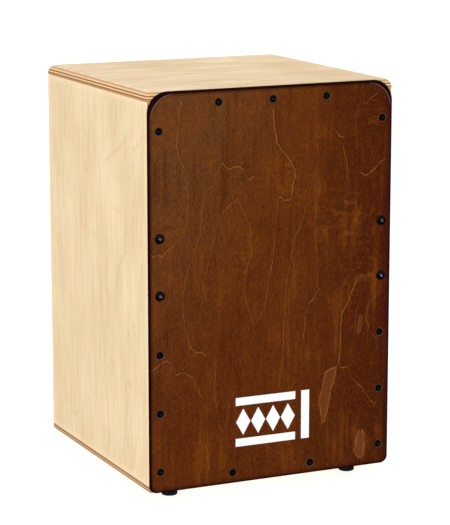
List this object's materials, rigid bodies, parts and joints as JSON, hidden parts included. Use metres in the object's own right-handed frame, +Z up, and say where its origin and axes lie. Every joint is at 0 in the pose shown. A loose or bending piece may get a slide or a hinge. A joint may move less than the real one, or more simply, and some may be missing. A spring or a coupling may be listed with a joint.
{
  "type": "cajon",
  "caption": "Plywood box drum with a thin stained striking plate, loosenable corner screws, sprung inner snares, a rear sound hole and rubber feet.",
  "frame": {"origin": "middle of the drum's bounding box, at the soles of its feet", "axes": "+Z up, towards the seat; the striking plate faces -Y; +X is on the right of somebody who looks at the plate"},
  "size_m": [0.298, 0.3008, 0.457],
  "materials": {
    "birch_plywood": "satin clear lacquer on pale birch plywood",
    "stained_plywood": "satin brown stain, darker on the rounded rim",
    "softwood": "planed, unfinished",
    "black_steel": "black, glossy",
    "zinc_steel": "bright zinc plate",
    "snare_steel": "drawn wire",
    "black_rubber": "moulded, matt"
  },
  "bodies": {
    "drum_body": {"back_panel": "birch_plywood", "bottom_panel": "birch_plywood", "clamp_screw_left_inner": "zinc_steel", "clamp_screw_left_outer": "zinc_steel", "clamp_screw_right_inner": "zinc_steel", "clamp_screw_right_outer": "zinc_steel", "crossbar_end_block_left": "softwood", "crossbar_end_block_right": "softwood", "crossbar_screw_left_lower": "zinc_steel", "crossbar_screw_left_upper": "zinc_steel", "crossbar_screw_right_lower": "zinc_steel", "crossbar_screw_right_upper": "zinc_steel", "domed_screw_left_lower": "black_steel", "domed_screw_left_upper": "black_steel", "domed_screw_right_lower": "black_steel", "domed_screw_right_upper": "black_steel", "foot_front_left": "black_rubber", "foot_front_right": "black_rubber", "foot_rear_left": "black_rubber", "foot_rear_right": "black_rubber", "foot_screw_front_left": "zinc_steel", "foot_screw_front_right": "zinc_steel", "foot_screw_rear_left": "zinc_steel", "foot_screw_rear_right": "zinc_steel", "front_batten_bottom": "softwood", "front_batten_left": "softwood", "front_batten_right": "softwood", "front_batten_top": "softwood", "front_plate": "stained_plywood", "left_side_panel": "birch_plywood", "plate_screw_bottom_left": "black_steel", "plate_screw_bottom_right": "black_steel", "plate_screw_left_1": "black_steel", "plate_screw_left_2": "black_steel", "plate_screw_left_3": "black_steel", "plate_screw_right_1": "black_steel", "plate_screw_right_2": "black_steel", "plate_screw_right_3": "black_steel", "plate_screw_top": "black_steel", "rear_batten_bottom": "softwood", "rear_batten_left": "softwood", "rear_batten_right": "softwood", "rear_batten_top": "softwood", "right_side_panel": "birch_plywood", "snare_clamp_left": "zinc_steel", "snare_clamp_right": "zinc_steel", "snare_crossbar": "softwood", "top_panel": "birch_plywood"},
    "corner_screw_left_side": {"corner_screw_left_side": "black_steel"},
    "corner_screw_left_top": {"corner_screw_left_top": "black_steel"},
    "corner_screw_right_side": {"corner_screw_right_side": "black_steel"},
    "corner_screw_right_top": {"corner_screw_right_top": "black_steel"},
    "snares_left": {"snare_wires_left": "snare_steel"},
    "snares_right": {"snare_wires_right": "snare_steel"}
  },
  "joints": [
    {"name": "corner_screw_left_top_travel", "type": "slide", "parent": "drum_body", "child": "corner_screw_left_top", "axis": [0, -1, 0], "range_m": [0, 0.003]},
    {"name": "corner_screw_left_side_travel", "type": "slide", "parent": "drum_body", "child": "corner_screw_left_side", "axis": [0, -1, 0], "range_m": [0, 0.003]},
    {"name": "corner_screw_right_top_travel", "type": "slide", "parent": "drum_body", "child": "corner_screw_right_top", "axis": [0, -1, 0], "range_m": [0, 0.003]},
    {"name": "corner_screw_right_side_travel", "type": "slide", "parent": "drum_body", "child": "corner_screw_right_side", "axis": [0, -1, 0], "range_m": [0, 0.003]},
    {"name": "snares_left_lift", "type": "hinge", "parent": "drum_body", "child": "snares_left", "pos_m": [-0.045, -0.1376, 0.274], "axis": [-0.9781, 0, -0.2079], "range_deg": [0, 2], "stiffness_Nm_per_rad": 0.6, "springref_deg": -4.01},
    {"name": "snares_right_lift", "type": "hinge", "parent": "drum_body", "child": "snares_right", "pos_m": [0.045, -0.1376, 0.274], "axis": [-0.9781, 0, 0.2079], "range_deg": [0, 2], "stiffness_Nm_per_rad": 0.6, "springref_deg": -4.01}
  ]
}
